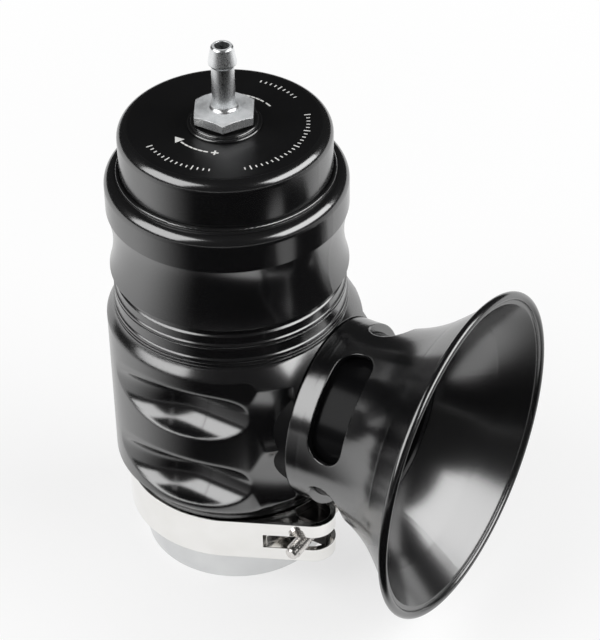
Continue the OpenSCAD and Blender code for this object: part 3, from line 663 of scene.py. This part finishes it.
spring_lower = spring_part("main_spring_lower", False)
spring_upper = spring_part("main_spring_upper", True)
print("spring cut at z in mm:", round(spring_cut / MM, 1))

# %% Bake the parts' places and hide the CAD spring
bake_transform(spring_lower)
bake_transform(spring_upper)
for part in (spring_lower, spring_upper):
    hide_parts("main_spring")
print("spring parts:", len(spring_lower.data.polygons), "and", len(spring_upper.data.polygons), "faces")

# %% [markdown]
# ## Printed marks on the cap
# The cap's top carries fine white marks that say which way to turn the adjuster. They are generic here: scales of
# ticks near the rim, an arrow each way, and a plus and a minus. Real marks are screen-printed ink, a few hundredths
# of a millimetre thick, so each is a thin plate that stands on the cap and not a picture on it.

# %% Make the ink
INK_PATCH = 1.2 * MM
ink = bpy.data.materials.new("White screen ink")
tree = empty_tree(ink)
place = add_node(tree, "TexCoord")
_, tone = mottle(tree, place, INK_PATCH, 3.0, "#c9c9c6", "#f0f0ee")
shader = add_node(tree, "BsdfPrincipled", {"Base Color": tone.outputs[0], "Roughness": 0.45, "IOR": 1.5})
add_node(tree, "OutputMaterial", {"Surface": shader.outputs[0]})
print("ink ready")

# %% A bar and an arrow head of ink
cap_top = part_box("cap")[1][2]
INK = 0.03 * MM
LINE = 0.5 * MM
marks = []


def place_mark(r, azimuth, turn=0):
    a = math.radians(azimuth)
    mark = bpy.context.object
    mark.location = (r * math.cos(a), r * math.sin(a), cap_top)
    mark.rotation_euler = (0, 0, a + turn)
    bpy.ops.object.transform_apply(location=True, rotation=True, scale=True)
    marks.append(mark)


def print_bar(out, across, r, azimuth):
    start_piece()
    bpy.ops.mesh.primitive_plane_add(size=1)
    bpy.context.object.scale = (out, across, 1)
    place_mark(r, azimuth)


def print_head(size, r, azimuth, turn):
    start_piece()
    bpy.ops.mesh.primitive_circle_add(vertices=3, radius=size, fill_type="NGON")
    place_mark(r, azimuth, turn)


print("cap top in mm:", round(cap_top / MM, 2))

# %% Print three scales near the rim
SCALES = ((-120, -68), (-44, 40), (64, 96))
SCALE_R, TICK_W, TICK_L, LONG_L = 22.5 * MM, 0.35 * MM, 1.0 * MM, 1.8 * MM
TICK_STEP, LONG_STEP = 4, 20
for first, last in SCALES:
    for azimuth in range(first, last + 1, TICK_STEP):
        print_bar(LONG_L if azimuth % LONG_STEP == 0 else TICK_L, TICK_W, SCALE_R, azimuth)
print("ticks:", len(marks))

# %% Print an arrow for harder and one for softer
ARROW_R, HEAD, DASH = 14.5 * MM, 1.7 * MM, 1.3 * MM
SIGN_AT, HEAD_AT = 68, 116
DASHES_AT = range(78, 109, 6)
HARDER, SOFTER = -1, 1
for side, head_turn in ((HARDER, math.pi), (SOFTER, 0)):
    for azimuth in DASHES_AT:
        print_bar(LINE, DASH, ARROW_R, side * azimuth)
    print_head(HEAD, ARROW_R, side * HEAD_AT, head_turn)
    print_bar(LINE, 4 * LINE, ARROW_R, side * SIGN_AT)
# Two short bars across make the plus
for r in (1.25 * LINE, -1.25 * LINE):
    print_bar(1.5 * LINE, LINE, ARROW_R + r, HARDER * SIGN_AT)
print("marks:", len(marks))

# %% Join the marks and let them ride
start_piece()
for mark in marks:
    mark.select_set(True)
bpy.context.view_layer.objects.active = marks[0]
bpy.ops.object.join()
print_marks = bpy.context.object
print_marks.name = "cap_marks"
bpy.ops.object.mode_set(mode="EDIT")
bpy.ops.mesh.select_all(action="SELECT")
bpy.ops.mesh.extrude_region_move(TRANSFORM_OT_translate={"value": (0, 0, INK)})
bpy.ops.mesh.select_all(action="SELECT")
bpy.ops.mesh.normals_make_consistent(inside=False)
bpy.ops.object.mode_set(mode="OBJECT")
print_marks.data.materials.append(ink)
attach(print_marks, "valve")
print("marks:", len(print_marks.data.polygons), "faces")
